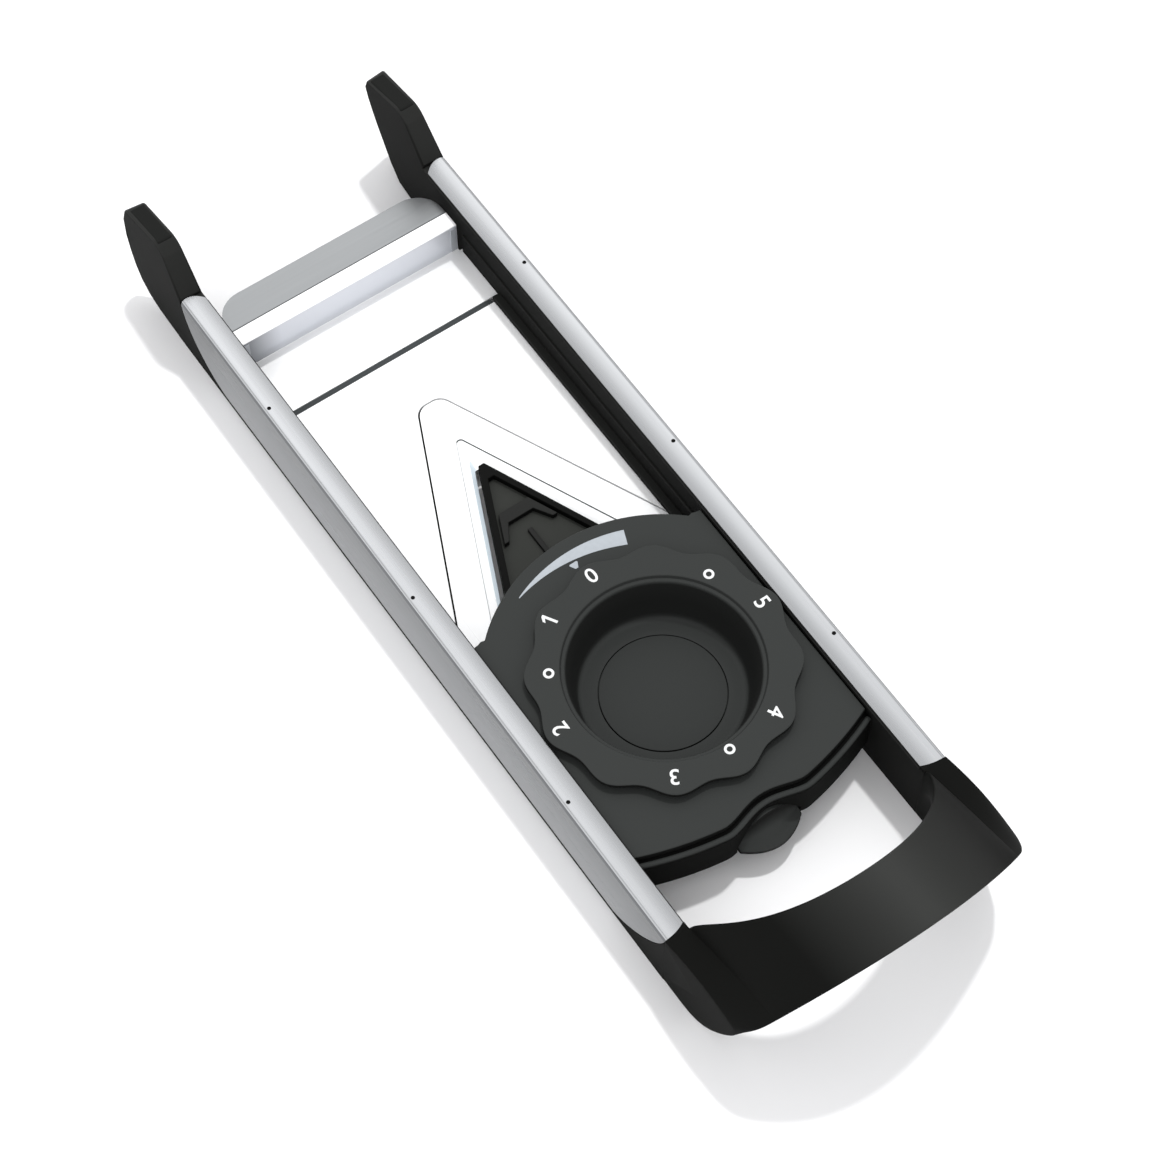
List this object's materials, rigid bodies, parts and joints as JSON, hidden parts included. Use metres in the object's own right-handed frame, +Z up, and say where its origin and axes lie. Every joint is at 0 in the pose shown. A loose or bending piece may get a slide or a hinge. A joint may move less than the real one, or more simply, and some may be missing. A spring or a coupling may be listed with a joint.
{
  "type": "mandoline slicer",
  "caption": "V-blade mandoline slicer lying food side down, with an arched handle, upturned feet, metal-clad side rails, a scalloped thickness dial and a spring button.",
  "frame": {"origin": "under the middle of the slicer's bounding box, on the surface it lies on, food side down", "axes": "+X across the slicer, +Y from the handle to the two feet, +Z up, away from the food side and towards the dial's marked face. In use the slicer is turned over, so that its plates face up."},
  "size_m": [0.113, 0.3932, 0.077],
  "materials": {
    "left_side_frame": "moulded black plastic, satin",
    "right_side_frame": "moulded black plastic, satin",
    "handle": "moulded black plastic, satin",
    "left_rail_cover": "satin brushed along its length",
    "right_rail_cover": "satin brushed along its length",
    "left_cover_pin_1": "moulded black plastic",
    "left_cover_pin_2": "moulded black plastic",
    "left_cover_pin_3": "moulded black plastic",
    "right_cover_pin_1": "moulded black plastic",
    "right_cover_pin_2": "moulded black plastic",
    "right_cover_pin_3": "moulded black plastic",
    "left_foot_pad": "soft black grip pad",
    "right_foot_pad": "soft black grip pad",
    "end_plate": "bright polished sheet steel",
    "blade_plate": "bright polished sheet steel",
    "v_blade": "ground and polished blade steel",
    "left_blade_clamp": "fine-grained charcoal plastic, satin",
    "right_blade_clamp": "fine-grained charcoal plastic, satin",
    "left_blade_screw": "plain steel",
    "right_blade_screw": "plain steel",
    "dial_cover": "fine-grained charcoal plastic, satin",
    "housing_base": "fine-grained charcoal plastic, satin",
    "left_far_housing_screw": "plain steel",
    "left_near_housing_screw": "plain steel",
    "right_far_housing_screw": "plain steel",
    "right_near_housing_screw": "plain steel",
    "detent_spring": "plain steel",
    "left_hinge_pin": "plain steel",
    "right_hinge_pin": "plain steel",
    "left_lift_spring": "plain steel",
    "right_lift_spring": "plain steel",
    "release_spring": "plain steel",
    "spring_rest": "fine-grained charcoal plastic, satin",
    "dial": "fine-grained charcoal plastic, satin",
    "dial_cap": "fine-grained charcoal plastic, satin",
    "cam_ring": "fine-grained charcoal plastic, satin",
    "retaining_ring": "plain steel",
    "ramp_plate": "bright polished sheet steel",
    "ramp_carrier": "moulded black plastic, satin",
    "cam_follower": "plain steel",
    "release_button": "fine-grained charcoal plastic, satin"
  },
  "bodies": {
    "frame": {"left_side_frame": "left_side_frame", "right_side_frame": "right_side_frame", "handle": "handle", "left_rail_cover": "left_rail_cover", "right_rail_cover": "right_rail_cover", "left_cover_pin_1": "left_cover_pin_1", "left_cover_pin_2": "left_cover_pin_2", "left_cover_pin_3": "left_cover_pin_3", "right_cover_pin_1": "right_cover_pin_1", "right_cover_pin_2": "right_cover_pin_2", "right_cover_pin_3": "right_cover_pin_3", "left_foot_pad": "left_foot_pad", "right_foot_pad": "right_foot_pad", "end_plate": "end_plate", "blade_plate": "blade_plate", "v_blade": "v_blade", "left_blade_clamp": "left_blade_clamp", "right_blade_clamp": "right_blade_clamp", "left_blade_screw": "left_blade_screw", "right_blade_screw": "right_blade_screw", "dial_cover": "dial_cover", "housing_base": "housing_base", "left_far_housing_screw": "left_far_housing_screw", "left_near_housing_screw": "left_near_housing_screw", "right_far_housing_screw": "right_far_housing_screw", "right_near_housing_screw": "right_near_housing_screw", "detent_spring": "detent_spring", "left_hinge_pin": "left_hinge_pin", "right_hinge_pin": "right_hinge_pin", "left_lift_spring": "left_lift_spring", "right_lift_spring": "right_lift_spring", "release_spring": "release_spring", "spring_rest": "spring_rest"},
    "dial": {"dial": "dial", "dial_cap": "dial_cap", "cam_ring": "cam_ring", "retaining_ring": "retaining_ring"},
    "ramp": {"ramp_plate": "ramp_plate", "ramp_carrier": "ramp_carrier", "cam_follower": "cam_follower"},
    "release_button": {"release_button": "release_button"}
  },
  "joints": [
    {"name": "dial_turn", "type": "hinge", "parent": "frame", "child": "dial", "pos_m": [0, -0.0617, 0.031], "axis": [0, 0, 1], "range_deg": [-300, 0]},
    {"name": "ramp_tilt", "type": "hinge", "parent": "frame", "child": "ramp", "pos_m": [0, -0.1075, 0.0116], "axis": [1, 0, 0], "range_deg": [0, 2.3], "deforming": ["left_lift_spring", "right_lift_spring"]},
    {"name": "release_slide", "type": "slide", "parent": "frame", "child": "release_button", "axis": [0, 1, 0], "range_m": [0, 0.003], "stiffness_N_per_m": 300, "deforming": ["release_spring"]}
  ],
  "couplings": [
    {"joint": "ramp_tilt", "follows": "dial_turn", "ratio": -0.0076667}
  ]
}
